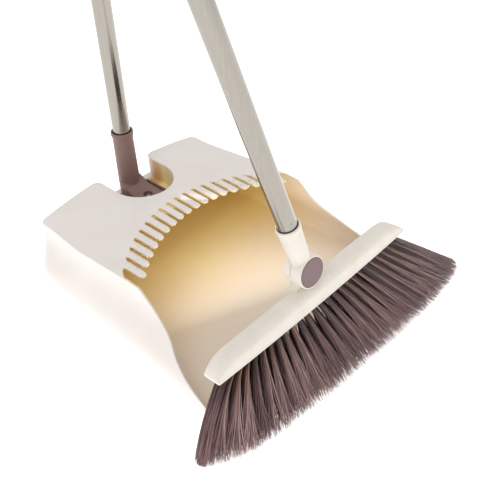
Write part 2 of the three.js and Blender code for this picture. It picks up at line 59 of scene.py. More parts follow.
PAN_BACK_BASE = 277  # the pan's back at its base, in the frame the pan is drawn in
pan_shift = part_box("pan_body")[1].y / MM - PAN_BACK_BASE
PAN = Matrix.Translation((0, pan_shift, 0))
hinge = next(j for j in frame["joints"] if j["name"] == "head_swing")
lean_back, lean_side, yaw, head_turn = (math.radians(a) for a in (-9.28, -13.73, -2.8, 10.2))
BROOM = (Matrix.Translation(Vector(hinge["pos_m"]) / MM) @ Matrix.Rotation(yaw, 4, "Z")
         @ Matrix.Rotation(lean_back, 4, "X") @ Matrix.Rotation(lean_side, 4, "Y"))
HEAD = BROOM @ Matrix.Rotation(head_turn, 4, "Y")


# ---------- nodes and materials ----------

def srgb(*rgb):
    """A colour from 0-255 sRGB values to linear."""
    return [((c / 255 + 0.055) / 1.055) ** 2.4 if c > 10 else c / 3294.6 for c in rgb] + [1]


class Nodes:
    """Small helper round a material's node tree."""

    def __init__(self, name, **sockets):
        self.material = bpy.data.materials.new(name)
        self.material.use_nodes = True
        self.tree = self.material.node_tree
        self.shader = self.tree.nodes["Principled BSDF"]
        for key, value in sockets.items():
            self.shader.inputs[key.replace("_", " ")].default_value = value
        self.coords = self.tree.nodes.new("ShaderNodeTexCoord")

    def add(self, kind, **settings):
        node = self.tree.nodes.new("ShaderNode" + kind)
        for key, value in settings.items():
            setattr(node, key, value)
        return node

    def link(self, source, target):
        self.tree.links.new(source, target)
        return target

    def mapped(self, scale):
        mapping = self.add("Mapping")
        mapping.inputs["Scale"].default_value = scale
        self.link(self.coords.outputs["Object"], mapping.inputs["Vector"])
        return mapping.outputs["Vector"]

    def noise(self, scale, detail=3, stretch=(1, 1, 1), distortion=0):
        node = self.add("TexNoise")
        node.inputs["Scale"].default_value = scale
        node.inputs["Detail"].default_value = detail
        node.inputs["Distortion"].default_value = distortion
        self.link(self.mapped(stretch), node.inputs["Vector"])
        return node.outputs["Fac"]

    def ramp(self, source, stops):
        node = self.add("ValToRGB")
        while len(node.color_ramp.elements) < len(stops):
            node.color_ramp.elements.new(0.5)
        for element, (position, colour) in zip(node.color_ramp.elements, stops):
            element.position = position
            element.color = colour
        self.link(source, node.inputs["Fac"])
        return node.outputs["Color"]

    def remap(self, source, low, high, to_low, to_high):
        node = self.add("MapRange")
        for i, value in enumerate((low, high, to_low, to_high), 1):
            node.inputs[i].default_value = value
        self.link(source, node.inputs[0])
        return node.outputs[0]

    def mix(self, factor, a, b, blend="MIX"):
        node = self.add("Mix", data_type="RGBA", blend_type=blend)
        if isinstance(factor, (int, float)):
            node.inputs[0].default_value = factor
        else:
            self.link(factor, node.inputs[0])
        for socket, value in ((node.inputs[6], a), (node.inputs[7], b)):
            if isinstance(value, (list, tuple)):
                socket.default_value = value
            else:
                self.link(value, socket)
        return node.outputs[2]

    def colour(self, source):
        self.link(source, self.shader.inputs["Base Color"])

    def roughness(self, source):
        self.link(source, self.shader.inputs["Roughness"])

    def bump(self, source, strength, distance):
        node = self.add("Bump")
        node.inputs["Strength"].default_value = strength
        node.inputs["Distance"].default_value = distance
        self.link(source, node.inputs["Height"])
        self.link(node.outputs["Normal"], self.shader.inputs["Normal"])


def plastic(name, light, dark, rough, grain=2600, specular=0.5, subsurface=0.0, clouds=26):
    n = Nodes(name, Specular_IOR_Level=specular, Subsurface_Weight=subsurface,
              Subsurface_Radius=(0.006, 0.004, 0.0025), Subsurface_Scale=1.0)
    n.colour(n.ramp(n.noise(clouds, 4), [(0.3, dark), (0.7, light)]))
    n.roughness(n.remap(n.noise(90, 2), 0.3, 0.7, rough - 0.06, rough + 0.06))
    n.bump(n.noise(grain, 2), 0.08, 0.0001)
    return n.material


def pan_plastic():
    """The pan's plastic: cream outside; inside, painted bounce light and painted shade, warmer the deeper
    it lies under the deck and darker orange at the deepest.
    """
    n = Nodes("pan_cream", Specular_IOR_Level=0.4)
    outside = n.ramp(n.noise(26, 4), [(0.3, srgb(236, 228, 222)), (0.7, srgb(240, 233, 228))])
    # painted light: the inside takes painted warm bounce light that grows under the deck, and painted
    # darker orange shade at the deepest
    shade_depth = n.add("Attribute", attribute_name="shade_depth")
    bounce_and_shade = n.ramp(shade_depth.outputs["Fac"], [(0.0, srgb(228, 214, 196)), (0.35, srgb(232, 213, 184)),
                                         (0.6, srgb(237, 216, 172)), (0.85, srgb(246, 224, 158)),
                                         (1.0, srgb(208, 158, 92))])
    bounce_and_shade = n.mix(n.remap(n.noise(22, 3), 0.35, 0.65, 0, 0.15), bounce_and_shade, srgb(234, 208, 172))
    skin = n.add("Attribute", attribute_name="skin")
    inner = n.remap(skin.outputs["Fac"], 0.06, 0.3, 0, 1)
    n.colour(n.mix(inner, outside, bounce_and_shade))
    n.roughness(n.remap(n.noise(90, 2), 0.3, 0.7, 0.33, 0.45))
    n.bump(n.noise(2400, 2), 0.06, 0.0001)
    return n.material


def steel(name, base=(0.36, 0.335, 0.30, 1), rough=0.16, along=(1, 1, 0.02)):
    n = Nodes(name, Metallic=1.0)
    streaks = n.noise(900, 3, along)
    n.colour(n.mix(n.remap(streaks, 0.3, 0.7, 0, 0.35), base, (0.26, 0.24, 0.21, 1)))
    n.roughness(n.remap(n.noise(500, 2, along), 0.3, 0.7, rough - 0.04, rough + 0.06))
    n.bump(streaks, 0.03, 0.0001)
    return n.material


def fibre():
    n = Nodes("bristle_fibre", Specular_IOR_Level=0.6, Sheen_Weight=0.1, Sheen_Roughness=0.4)
    tone_and_shade = n.add("Attribute", attribute_name="tone_and_shade")
    along = n.add("Attribute", attribute_name="along")
    tone = n.ramp(tone_and_shade.outputs["Fac"], [(0.0, srgb(44, 20, 20)), (0.35, srgb(98, 63, 64)),
                                        (0.65, srgb(142, 107, 106)), (1.0, srgb(190, 156, 150))])
    # painted shade: the fibres darken towards the board, and the brightest few take painted orange light
    # at their roots instead, as lit pan seen through gaps between tufts
    root = n.remap(along.outputs["Fac"], 0.0, 0.42, 0.92, 0)
    gap_light = n.remap(tone_and_shade.outputs["Fac"], 0.9, 0.95, 0, 1)
    darker = n.mix(root, tone, n.mix(gap_light, srgb(48, 20, 14), srgb(196, 138, 78)))
    tip = n.remap(along.outputs["Fac"], 0.7, 1.0, 0, 0.35)
    n.colour(n.mix(tip, darker, srgb(146, 114, 112)))
    n.roughness(n.remap(n.noise(700, 2), 0.3, 0.7, 0.34, 0.5))
    return n.material


CREAM = plastic("cream_plastic", srgb(238, 233, 226), srgb(234, 228, 220), 0.36, subsurface=0.06)
HEAD_CREAM = plastic("head_cream", srgb(236, 229, 219), srgb(230, 222, 210), 0.4, 1400, subsurface=0.06,
                     clouds=60)
PAN_CREAM = pan_plastic()
MAUVE = plastic("mauve_plastic", srgb(133, 105, 99), srgb(125, 98, 91), 0.46, 1800)
CAP = plastic("cap_mauve", srgb(129, 104, 106), srgb(123, 98, 100), 0.5, 1500)
TUBE = steel("polished_tube")
SCREW = steel("screw_steel", (0.45, 0.45, 0.46, 1), 0.28, (1, 1, 1))
FIBRE = fibre()


# ---------- mesh helpers ----------

def link_piece(obj, body, slot, *nodes):
    if obj.name not in scene.collection.objects:
        scene.collection.objects.link(obj)
    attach(obj, body)
    if nodes:
        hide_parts(*nodes)
    return obj


def make(name, verts, faces, matrix, materials, merge=0.0):
    """An object from vertices in millimetres in a local frame."""
    mesh = bpy.data.meshes.new(name)
    mesh.from_pydata([(matrix @ Vector(v)) * MM for v in verts], [], faces)
    bm = bmesh.new()
    bm.from_mesh(mesh)
    if merge:
        bmesh.ops.remove_doubles(bm, verts=bm.verts, dist=merge * MM)
    bmesh.ops.recalc_face_normals(bm, faces=bm.faces)
    bm.to_mesh(mesh)
    bm.free()
    for material in materials if isinstance(materials, list) else [materials]:
        mesh.materials.append(material)
    obj = bpy.data.objects.new(name, mesh)
    scene.collection.objects.link(obj)
    return obj


def apply_modifiers(obj):
    """Bakes the modifiers into the mesh."""
    bpy.context.view_layer.update()
    graph = bpy.context.evaluated_depsgraph_get()
    mesh = bpy.data.meshes.new_from_object(obj.evaluated_get(graph), depsgraph=graph)
    obj.modifiers.clear()
    obj.data = mesh
    return obj


def modifier(obj, kind, **settings):
    m = obj.modifiers.new(kind.lower(), kind)
    for key, value in settings.items():
        setattr(m, key, value)
    return m


def smooth_by_angle(obj, degrees=32):
    """Smooth shading, with the edges sharper than an angle kept."""
    mesh = obj.data
    bm = bmesh.new()
    bm.from_mesh(mesh)
    limit = math.radians(degrees)
    for face in bm.faces:
        face.smooth = True
    for edge in bm.edges:
        edge.smooth = len(edge.link_faces) == 2 and edge.calc_face_angle(0) < limit
    bm.to_mesh(mesh)
    bm.free()


def rounded(obj, width, segments=3, angle=35, clamp=True):
    modifier(obj, "BEVEL", width=width * MM, segments=segments, limit_method="ANGLE",
             angle_limit=math.radians(angle), use_clamp_overlap=clamp, miter_outer="MITER_ARC")
    apply_modifiers(obj)
    smooth_by_angle(obj, 40)
    return obj


def lathe_data(profile, segments=72):
    """Vertices and faces of a closed [radius, height] profile turned about Z."""
    verts, faces = [], []
    count = len(profile)
    for s in range(segments):
        a = 2 * math.pi * s / segments
        verts += [(r * math.cos(a), r * math.sin(a), z) for r, z in profile]
    for s in range(segments):
        t = (s + 1) % segments
        for i in range(count - 1):
            faces.append((s * count + i, t * count + i, t * count + i + 1, s * count + i + 1))
    return verts, faces


def lathe(name, profile, matrix, material, segments=72):
    verts, faces = lathe_data(profile, segments)
    obj = make(name, verts, faces, matrix, material, merge=0.001)
    bm = bmesh.new()
    bm.from_mesh(obj.data)
    bad = [f for f in bm.faces if f.calc_area() < 1e-14]
    bmesh.ops.delete(bm, geom=bad, context="FACES")
    bmesh.ops.recalc_face_normals(bm, faces=bm.faces)
    bm.to_mesh(obj.data)
    bm.free()
    smooth_by_angle(obj, 40)
    return obj


def round_profile(points, radius, steps=4):
    """A polyline of (radius, height) with its inner corners rounded."""
    out = [points[0]]
    for before, here, after in zip(points, points[1:], points[2:]):
        p, a, b = Vector(here), Vector(before), Vector(after)
        reach = min(radius, (a - p).length * 0.45, (b - p).length * 0.45)
        start, end = p + (a - p).normalized() * reach, p + (b - p).normalized() * reach
        for i in range(steps + 1):
            t = i / steps
            q = start.lerp(p, t).lerp(p.lerp(end, t), t)
            out.append((max(q.x, 0), q.y))
    out.append(points[-1])
    return out


def extruded(outline, low, high, along):
    """Vertices and faces of a flat outline of pairs extruded between two values of one axis."""
    place = {"X": lambda a, b, c: (c, a, b), "Y": lambda a, b, c: (a, c, b),
             "Z": lambda a, b, c: (a, b, c)}[along]
    n = len(outline)
    verts = [place(a, b, low) for a, b in outline] + [place(a, b, high) for a, b in outline]
    faces = [tuple(range(n)), tuple(range(2 * n - 1, n - 1, -1))]
    faces += [(i, (i + 1) % n, n + (i + 1) % n, n + i) for i in range(n)]
    return verts, faces


def prism(name, outline, low, high, along, matrix, material):
    verts, faces = extruded(outline, low, high, along)
    return make(name, verts, faces, matrix, material)


def rod(radius, low, high, matrix, segments=64):
    profile = [(0, low), (radius, low), (radius, high), (0, high)]
    return lathe("rod", profile, matrix, CREAM, segments)


def combine(obj, other, operation):
    m = modifier(obj, "BOOLEAN", operation=operation, object=other, solver="EXACT")
    apply_modifiers(obj)
    bpy.data.objects.remove(other)
    return obj


def moulded(obj, voxel, passes=8, factor=0.5):
    """Melts overlapping solids into one skin with soft edges."""
    modifier(obj, "REMESH", mode="VOXEL", voxel_size=voxel * MM, use_smooth_shade=True)
    modifier(obj, "SMOOTH", iterations=passes, factor=factor)
    return apply_modifiers(obj)


def join(objects):
    first = objects[0]
    bm = bmesh.new()
    for obj in objects:
        bm.from_mesh(obj.data)
    bm.to_mesh(first.data)
    bm.free()
    for obj in objects[1:]:
        bpy.data.objects.remove(obj)
    return first


def arc(cx, cy, rx, ry, start, end, steps):
    return [(cx + rx * math.cos(math.radians(start + (end - start) * i / steps)),
             cy + ry * math.sin(math.radians(start + (end - start) * i / steps)))
            for i in range(steps + 1)]


def smooth(value):
    t = min(max(value, 0), 1)
    return t * t * (3 - 2 * t)


def lerp(a, b, t):
    return a + (b - a) * t


# ---------- pan shell ----------

LIP_FRONT, DECK_START, MOUTH_CORNER = -14, 107, 127
WALL, EDGE = 2.4, 0.8  # thickness, and how far the rounded rims stand out of the skin
SHELF_TOP, NOTCH_X, NOTCH_HALF, BEND_Y, BEND, NOTCH_CORNER = 52, 1.5, 35, 239.5, 38.5, 9
LOW_ROWS, HIGH_ROWS = 26, 10  # rows of faces up the wall below and above the shelf's height
TOOTH_PITCH, TOOTH_HALF, TEETH = 12.17, 4.125, 18
ROOT_RADIUS, ROOT_CREST = 155, 183.8  # the arc in the plan that the comb's gaps end on
TIP_RADIUS, TIP_CREST = 160, 152  # the arc of the teeth's tips
RIDGE_PITCH = 2.4


def catmull(points, steps):
    """A smooth curve through points, as a dense polyline."""
    p = [Vector(q) for q in [points[0], *points, points[-1]]]
    out = []
    for a, b, c, d in zip(p, p[1:], p[2:], p[3:]):
        for i in range(steps):
            t = i / steps
            out.append(0.5 * ((2 * b) + (c - a) * t + (2 * a - 5 * b + 4 * c - d) * t * t
                              + (3 * b - 3 * c + d - a) * t ** 3))
    out.append(p[-1])
    return out


EDGE_CURVE = catmull([(LIP_FRONT, 1.4), (0, 8.3), (12, 14.4), (25, 20.7), (36, 26.4), (47, 33.1),
                      (58, 42), (68, 48.4), (77, 53.4), (86, 59), (96, 66.8), (107, 75.6)], 8)


def deck_height(x, y):
    drop = 4.5 + 8.5 * smooth((y - 107) / 150)
    return 79.5 - drop * (x / 118.5) ** 2


def lean_out(y, z):
    level = z * 75 / deck_height(118.5, y)
    return 1 - 0.93 * smooth((level - 12) / 50) - 0.07 * min(max(level / 75, 0), 1)


def side_x(y, z):
    top = 118.5 - 4.5 * smooth((y - 190) / 70)
    return top + (141.5 - 0.036 * y - top) * lean_out(y, z)


def shell_point(station, z, inset):
    """A point on the pan's outside at a height, for a place round its outline."""
    kind, sign, value = station
    lean = lean_out(274, z)
    back, radius = 274 + 3 * lean - inset, 7 + 19 * lean - inset
    corner_y = back - radius
    if kind == "side":
        return Vector((sign * (side_x(value, z) - inset), value, z))
    if kind == "rear":
        y = lerp(245, corner_y, value)
        return Vector((sign * (side_x(y, z) - inset), y, z))
    if kind == "corner":
        x = side_x(corner_y, z) - inset - radius
        a = math.radians(value)
        return Vector((sign * (x + radius * math.cos(a)), corner_y + radius * math.sin(a), z))
    return Vector((value, back, z))


def shell_stations():
    side = [LIP_FRONT, -12, -9.5] + [LIP_FRONT + 7 + 3.5 * i for i in range(32)]
    side = sorted({*[y for y in side if y < 101], 104, 107, 110.5, 114, 117, 120, 122.5, 125, 127})
    side += [131 + 6 * i for i in range(20)]
    right = [("side", 1, y) for y in side if y <= 245]
    right += [("rear", 1, f) for f in (0.33, 0.66)] + [("corner", 1, a) for a in range(0, 91, 6)]
    left = [(kind, -1, value) for kind, _, value in reversed(right)]
    low, high = NOTCH_X - NOTCH_HALF - NOTCH_CORNER, NOTCH_X + NOTCH_HALF + NOTCH_CORNER
    back = sorted({high, low, *[high + i * (104 - high) / 10 for i in range(1, 11)],
                   *[lerp(low, high, i / 16) for i in range(1, 16)],
                   *[-104 + i * (104 + low) / 10 for i in range(10)]}, reverse=True)
    return right + [("back", 0, x) for x in back] + left


def in_notch(station):
    return station[0] == "back" and abs(station[2] - NOTCH_X) < NOTCH_HALF + NOTCH_CORNER - 0.01


def station_top(station):
    if in_notch(station):
        return SHELF_TOP
    z = 75
    for _ in range(6):
        p = shell_point(station, z, 0)
        z = deck_height(p.x, p.y)
    y = station[2] if station[0] == "side" else 300
    if y < DECK_START:
        z = float(np.interp(y, [q.x for q in EDGE_CURVE], [q.y for q in EDGE_CURVE]))
        return max(z - 1.15 * EDGE, 0.45)
    return z - EDGE * (1 - smooth((y - DECK_START) / (MOUTH_CORNER - DECK_START)))


def station_column(station):
    """The points up the outside at one station: the base's rounding, the flare, the upright."""
    y = min(max(station[2] if station[0] == "side" else 274, 0), 274)
    fillet = 3 + 6 * smooth(y / 230)
    angles = [math.radians(a) for a in np.linspace(0, 90, 25)]
    heights = [fillet * (1 - math.cos(a)) for a in angles]
    insets = [fillet * (1 - math.sin(a)) for a in angles]
    top = station_top(station)
    split = SHELF_TOP if top >= SHELF_TOP and station[0] != "side" else top * 0.62
    inset = lambda z: float(np.interp(z, heights, insets))
    dense = [z for z in [*heights, *np.arange(fillet + 1.5, 90, 1.5)] if z < split - 0.01] + [split]
    points = [shell_point(station, z, inset(z)) for z in dense]
    lengths = np.cumsum([0] + [(b - a).length for a, b in zip(points, points[1:])])
    rows = np.interp(np.linspace(0, lengths[-1], LOW_ROWS + 1), lengths, dense)
    if not in_notch(station):
        rows = [*rows, *[lerp(split, top, i / HIGH_ROWS) for i in range(1, HIGH_ROWS + 1)]]
    return [shell_point(station, z, inset(z)) for z in rows]


def arc_y(radius, crest, x):
    return crest - radius + math.sqrt(radius ** 2 - x ** 2)


def comb_outline():
    """The mouth's edge in the deck from left to right, in the plan."""
    points = [(-116.2, 127.6), (-115.9, 129.6), (-114.8, 132.6), (-113.7, 134.7), (-112.4, 136.5),
              (-111.4, 137.9), (-110.4, 139.2)]
    root = lambda x: arc_y(ROOT_RADIUS, ROOT_CREST, x)
    for i in range(TEETH):
        x = (i + 0.5 - TEETH / 2) * TOOTH_PITCH
        tip = arc_y(TIP_RADIUS, TIP_CREST, x) + TOOTH_HALF
        for side in (-1, 1):
            start = root(x + side * TOOTH_HALF)
            corner = 1.3
            run = start - corner - tip
            steps = int(run / 0.4)
            stretch = []
            for k in range(4):
                a = math.radians(90 * k / 4)
                stretch.append((x + side * (TOOTH_HALF + corner * (1 - math.sin(a))),
                                start - corner * (1 - math.cos(a))))
            for k in range(steps + 1):
                s = run * k / steps
                stretch.append((x + side * TOOTH_HALF, start - corner - s))
            if side < 0:
                points += stretch + arc(x, tip, TOOTH_HALF, TOOTH_HALF, 180, 360, 18)[1:-1]
            else:
                points += stretch[::-1]
    points += [(-x, y) for x, y in points[6::-1]]
    return points


def inset_outline(points, amount):
    """An open outline moved sideways, to its left."""
    out = []
    for i, p in enumerate(points):
        normals = []
        for a, b in ((i - 1, i), (i, i + 1)):
            if a >= 0 and b < len(points):
                d = Vector(points[b]) - Vector(points[a])
                if d.length > 1e-6:
                    normals.append(Vector((-d.y, d.x)).normalized())
        n = normals[0] if len(normals) < 2 else (normals[0] + normals[1]) / max(
            1 + normals[0].dot(normals[1]), 0.5)
        out.append((p[0] + n.x * amount, p[1] + n.y * amount))
    return out


def fill_plan(outline, step, clearance):
    """Triangles inside a closed plan outline, with a grid of inner points."""
    loop = np.array(outline)
    xs = np.arange(loop[:, 0].min() + step / 2, loop[:, 0].max(), step)
    ys = np.arange(loop[:, 1].min() + step / 2, loop[:, 1].max(), step)
    grid = np.array([(x + (step / 2 if j % 2 else 0), y) for j, y in enumerate(ys) for x in xs])
    following = np.roll(loop, -1, axis=0)
    inside = np.zeros(len(grid), bool)
    for (x1, y1), (x2, y2) in zip(loop, following):
        if y1 == y2:
            continue
        crosses = (grid[:, 1] < y1) != (grid[:, 1] < y2)
        at = (x2 - x1) * (grid[:, 1] - y1) / (y2 - y1) + x1
        inside ^= crosses & (grid[:, 0] < at)
    near = np.array([np.min(np.hypot(*(loop - g).T)) for g in grid])
    extra = grid[inside & (near > clearance)]
    verts = [Vector(p) for p in outline] + [Vector(p) for p in extra]
    edges = [(i, (i + 1) % len(outline)) for i in range(len(outline))]
    result = delaunay_2d_cdt(verts, edges, [], 1, 1e-4)
    return [tuple(v) for v in result[0]], [tuple(f) for f in result[2]]


def pan_skin():
    """The pan's outside as one open surface."""
    verts, faces = [], []
    stations = shell_stations()
    columns = [station_column(s) for s in stations]
    starts = []
    for column in columns:
        starts.append(len(verts))
        verts += [p.copy() for p in column]
    for i in range(len(columns) - 1):
        rows = min(len(columns[i]), len(columns[i + 1]))
        for r in range(rows - 1):
            a, b = starts[i] + r, starts[i + 1] + r
            faces.append((a, b, b + 1, a + 1))

    def patch(plan_verts, plan_faces, height):
        base = len(verts)
        verts.extend(Vector((x, y, height(x, y))) for x, y in plan_verts)
        faces.extend(tuple(base + i for i in f) for f in plan_faces)

    # the base
    foot = [tuple(c[0].xy) for c in columns]
    patch(*fill_plan(foot, 14, 5), lambda x, y: 0)

    # the notch: its upright wall round a U, and the shelf it stands on
    bend = arc(NOTCH_X, BEND_Y, NOTCH_HALF, BEND, 180, 360, 40)
    reach = NOTCH_HALF + NOTCH_CORNER
    ends = {s[2]: c for c, s in zip(columns, stations) if s[0] == "back"}
    left_end, right_end = ends[NOTCH_X - reach], ends[NOTCH_X + reach]
    shelf_edge = [c[-1] for c, s in zip(columns, stations) if in_notch(s)]
    rear = left_end[-1].y - NOTCH_CORNER
    arm = [(NOTCH_HALF, lerp(BEND_Y, rear, t)) for t in (0.25, 0.5, 0.75)]
    arm += arc(reach, rear, NOTCH_CORNER, NOTCH_CORNER, 180, 90, 9)[:-1]
    u_plan = [*[(NOTCH_X - x, y) for x, y in arm[::-1]], *bend, *[(NOTCH_X + x, y) for x, y in arm]]
    ranks = [[p.copy() for p in left_end[LOW_ROWS:]]]
    for x, y in u_plan:
        top = deck_height(x, y)
        ranks.append([Vector((x, y, lerp(SHELF_TOP, top, i / HIGH_ROWS))) for i in range(HIGH_ROWS + 1)])
    ranks.append([p.copy() for p in right_end[LOW_ROWS:]])
    base = len(verts)
    for rank in ranks:
        verts += rank
    per = HIGH_ROWS + 1
    for i in range(len(ranks) - 1):
        for r in range(HIGH_ROWS):
            a, b = base + i * per + r, base + (i + 1) * per + r
            faces.append((a, b, b + 1, a + 1))
    shelf = [tuple(rank[0].xy) for rank in ranks] + [tuple(p.xy) for p in shelf_edge]
    patch(*fill_plan(shelf, 9, 4), lambda x, y: SHELF_TOP)

    # the deck, between the walls, the notch and the comb
    tops = [(s, c[-1]) for s, c in zip(stations, columns) if not in_notch(s)]
    tops = [(s, p) for s, p in tops if not (s[0] == "side" and s[2] < MOUTH_CORNER)]
    right = [tuple(p.xy) for s, p in tops if s[1] == 1 or (s[1] == 0 and s[2] > NOTCH_X)]
    left = [tuple(p.xy) for s, p in tops if s[1] == -1 or (s[1] == 0 and s[2] < NOTCH_X)]
    u_top = [tuple(rank[-1].xy) for rank in ranks[1:-1]]
    comb = inset_outline(comb_outline(), EDGE)
    patch(*fill_plan([*right, *u_top[::-1], *left, *comb], 6, 2.6), deck_height)
    return verts, faces


def ridge(v):
    """The fine ridges across the comb's teeth: a wave along y, fading out at the teeth's ends."""
    x, y, z = v.co.x / MM, v.co.y / MM - pan_shift, v.co.z / MM
    if z < 66 or abs(x) > 108 or y < 100:
        return 0
    root = arc_y(ROOT_RADIUS, ROOT_CREST, x) - 1.4
    if y > root:
        return 0
    fade = smooth((root - y) / 3) * smooth((y - arc_y(TIP_RADIUS, TIP_CREST, x) - 2) / 3)
    return math.cos(2 * math.pi * y / RIDGE_PITCH) * fade


def thicken(bm, thickness, steps=8):
    """Gives an open surface an inner skin and rounded rims, and marks the inner vertices in "skin"."""
    tags = bm.verts.layers.float.new("skin")
    bm.normal_update()
    outer = list(bm.verts)
    rim = [e for e in bm.edges if e.is_boundary]
    twin, outward = {}, {}
    sums = {}
    for e in rim:
        face = e.link_faces[0]
        a, b = e.verts
        side = (b.co - a.co).cross(face.normal).normalized()
        if side.dot((a.co + b.co) / 2 - face.calc_center_median()) < 0:
            side.negate()
        for v in (a, b):
            sums.setdefault(v, []).append(side)
    for v, sides in sums.items():
        if len(sides) == 2:
            outward[v] = (sides[0] + sides[1]) / max(1 + sides[0].dot(sides[1]), 0.6)
        else:
            outward[v] = sum(sides, Vector()).normalized()
    faces = list(bm.faces)
    shifts = {v: v.normal * (thickness(v) * min(v.calc_shell_factor(), 1.5)) for v in outer}
    for v in outer:
        twin[v] = bm.verts.new(v.co - shifts[v])
        twin[v][tags] = 1
    for f in faces:
        bm.faces.new([twin[v] for v in reversed(f.verts)])
    chains = {}
    for v in outward:
        mid, half = (v.co + twin[v].co) / 2, (v.co - twin[v].co) / 2
        reach = min((EDGE + 0.7 * ridge(v)) * MM, half.length * 1.2)
        chain = [v]
        for k in range(1, steps):
            a = math.pi * k / steps
            c = math.copysign(abs(math.cos(a)) ** 0.62, math.cos(a))
            s = math.sin(a) ** 0.62
            new = bm.verts.new(mid + half * c + outward[v] * reach * s)
            new[tags] = 0.5 * k / steps
            chain.append(new)
        chains[v] = chain + [twin[v]]
    for e in rim:
        a, b = e.verts
        for k in range(steps):
            bm.faces.new((chains[a][k], chains[b][k], chains[b][k + 1], chains[a][k + 1]))
    bmesh.ops.recalc_face_normals(bm, faces=bm.faces)


def in_recess(x, y, z):
    half = NOTCH_HALF + 0.6
    if not (SHELF_TOP - 0.1 < z < 78 and abs(x - NOTCH_X) < half and y < 268):
        return False
    return y > BEND_Y or math.hypot(x - NOTCH_X, (y - BEND_Y) * half / BEND) < half


def recess_bounce_and_shade(y):
    """How much painted bounce light and painted shade the recess's wall takes off the elbow beside it:
    most at the sides.
    """
    return smooth((y - 200) / 36) * smooth((268 - y) / 7)


def build_pan():
    verts, faces = pan_skin()
    obj = make("dust_pan_shell", verts, faces, PAN, PAN_CREAM, merge=0.03)
    bm = bmesh.new()
    bm.from_mesh(obj.data)
    bmesh.ops.dissolve_degenerate(bm, dist=1e-6, edges=bm.edges)
    bm.normal_update()
    low = min(bm.faces, key=lambda f: f.calc_center_median().z)
    if low.normal.z > 0:
        bmesh.ops.reverse_faces(bm, faces=bm.faces)
    weights = bm.edges.layers.float.new("bevel_weight_edge")
    for e in bm.edges:
        if len(e.link_faces) == 2 and e.calc_face_angle(0) > math.radians(38):
            e[weights] = 1

    def thickness(v):
        y = v.co.y / MM - pan_shift
        share = min(max((y - LIP_FRONT) / 26, 0), 1)
        return (lerp(1.0, WALL, share) if v.co.z < 0.03 else WALL) * MM

    for v in {v for e in bm.edges if e.is_boundary for v in e.verts}:
        v.co.z += 0.45 * ridge(v) * MM
    thicken(bm, thickness)
    bm.to_mesh(obj.data)
    bm.free()
    for polygon in obj.data.polygons:
        polygon.use_smooth = True
    modifier(obj, "BEVEL", width=1.0 * MM, segments=3, limit_method="WEIGHT", use_clamp_overlap=True)
    apply_modifiers(obj)
    smooth_by_angle(obj, 50)
    mesh = obj.data
    # painted bounce light and painted shade on the inside: a value per vertex for how deep it lies under
    # the deck
    shade_depth = mesh.attributes.new("shade_depth", "FLOAT", "POINT")
    skin = mesh.attributes["skin"]
    for i, v in enumerate(mesh.vertices):
        x, y, z = v.co.x / MM, v.co.y / MM - pan_shift, v.co.z / MM
        deep = 0.87 * smooth((y - 50) / 150)
        # the recess's wall takes painted bounce light and painted shade off the elbow, darker orange
        # towards its rear
        if skin.data[i].value < 0.01 and in_recess(x, y, z):
            skin.data[i].value = 0.06 + 0.24 * recess_bounce_and_shade(y)
            deep = lerp(0.6, 1.0, smooth((y - 225) / 30))
        shade_depth.data[i].value = deep
    return link_piece(obj, "pan", "cream_plastic", "pan_body")


# ---------- elbow ----------

def build_elbow():
    low, elbow_y, screw_y, foot_front, top = SHELF_TOP + 0.3, 260, 229, 212, 134
    place = PAN @ Matrix.Translation((0, elbow_y, 0))
    body = lathe("elbow_body", round_profile(
        [(0, low), (12, low), (12, 70), (11.2, top - 9), (11.5, top - 7), (12.3, top - 5.5),
         (12.3, top - 0.4), (10.4, top), (0, top)], 0.8), place, MAUVE)
    side = [(foot_front, low), (260, low), (260, 72.5), (255, 71), (249, 68), (244, 64.8), (238, 63),
            (foot_front + 2.5, 63), (foot_front, 60.5)]
    foot = prism("elbow_foot", side, -13.5, 13.5, "X", PAN, MAUVE)
    flange_side = [(foot_front, low), (262, low), (262, low + 4), (foot_front, low + 4)]
    flange = prism("elbow_flange", flange_side, -17, 17, "X", PAN, MAUVE)
    wide_side = [(218.5, low), (261, low), (261, low + 4), (218.5, low + 4)]
    wide = prism("elbow_flange_wide", wide_side, -26, 26, "X", PAN, MAUVE)
    elbow = moulded(join([body, foot, flange, wide]), 0.5, 5)
    for side in (-1, 1):
        for middle in (17.2, 22.2):
            low_x, high_x = sorted((side * (middle - 1.1), side * (middle + 1.1)))
            channel = [(217, low + 1.4), (263, low + 1.4), (263, low + 8), (217, low + 8)]
            combine(elbow, prism("channel", channel, low_x, high_x, "X", PAN, MAUVE), "DIFFERENCE")
    heel = [(261, low - 2), (264, 56), (268, 64), (272, 76), (290, 76), (290, low - 2)]
    combine(elbow, prism("heel", heel, -30, 30, "X", PAN, MAUVE), "DIFFERENCE")
    combine(elbow, rod(10.1, 97, top + 5, place), "DIFFERENCE")
    combine(elbow, rod(10.7, top - 2.5, top + 5, place), "DIFFERENCE")
    combine(elbow, rod(6.6, 78, 98, place), "DIFFERENCE")
    well = PAN @ Matrix.Translation((0, screw_y, 0))
    combine(elbow, rod(5.4, 58.8, 80, well), "DIFFERENCE")
    combine(elbow, rod(2.0, low - 3, 60, well), "DIFFERENCE")
    smooth_by_angle(elbow, 45)
    elbow.name = "handle_elbow"
    elbow.data.materials.clear()
    elbow.data.materials.append(MAUVE)
    link_piece(elbow, "pan", "mauve_plastic", "elbow_bracket")
    screw = cross_screw("elbow_fixing", 3.6, 2.4, 1.6, 59.3, 41, well)
    return link_piece(screw, "pan", "screw_steel", "elbow_screw")


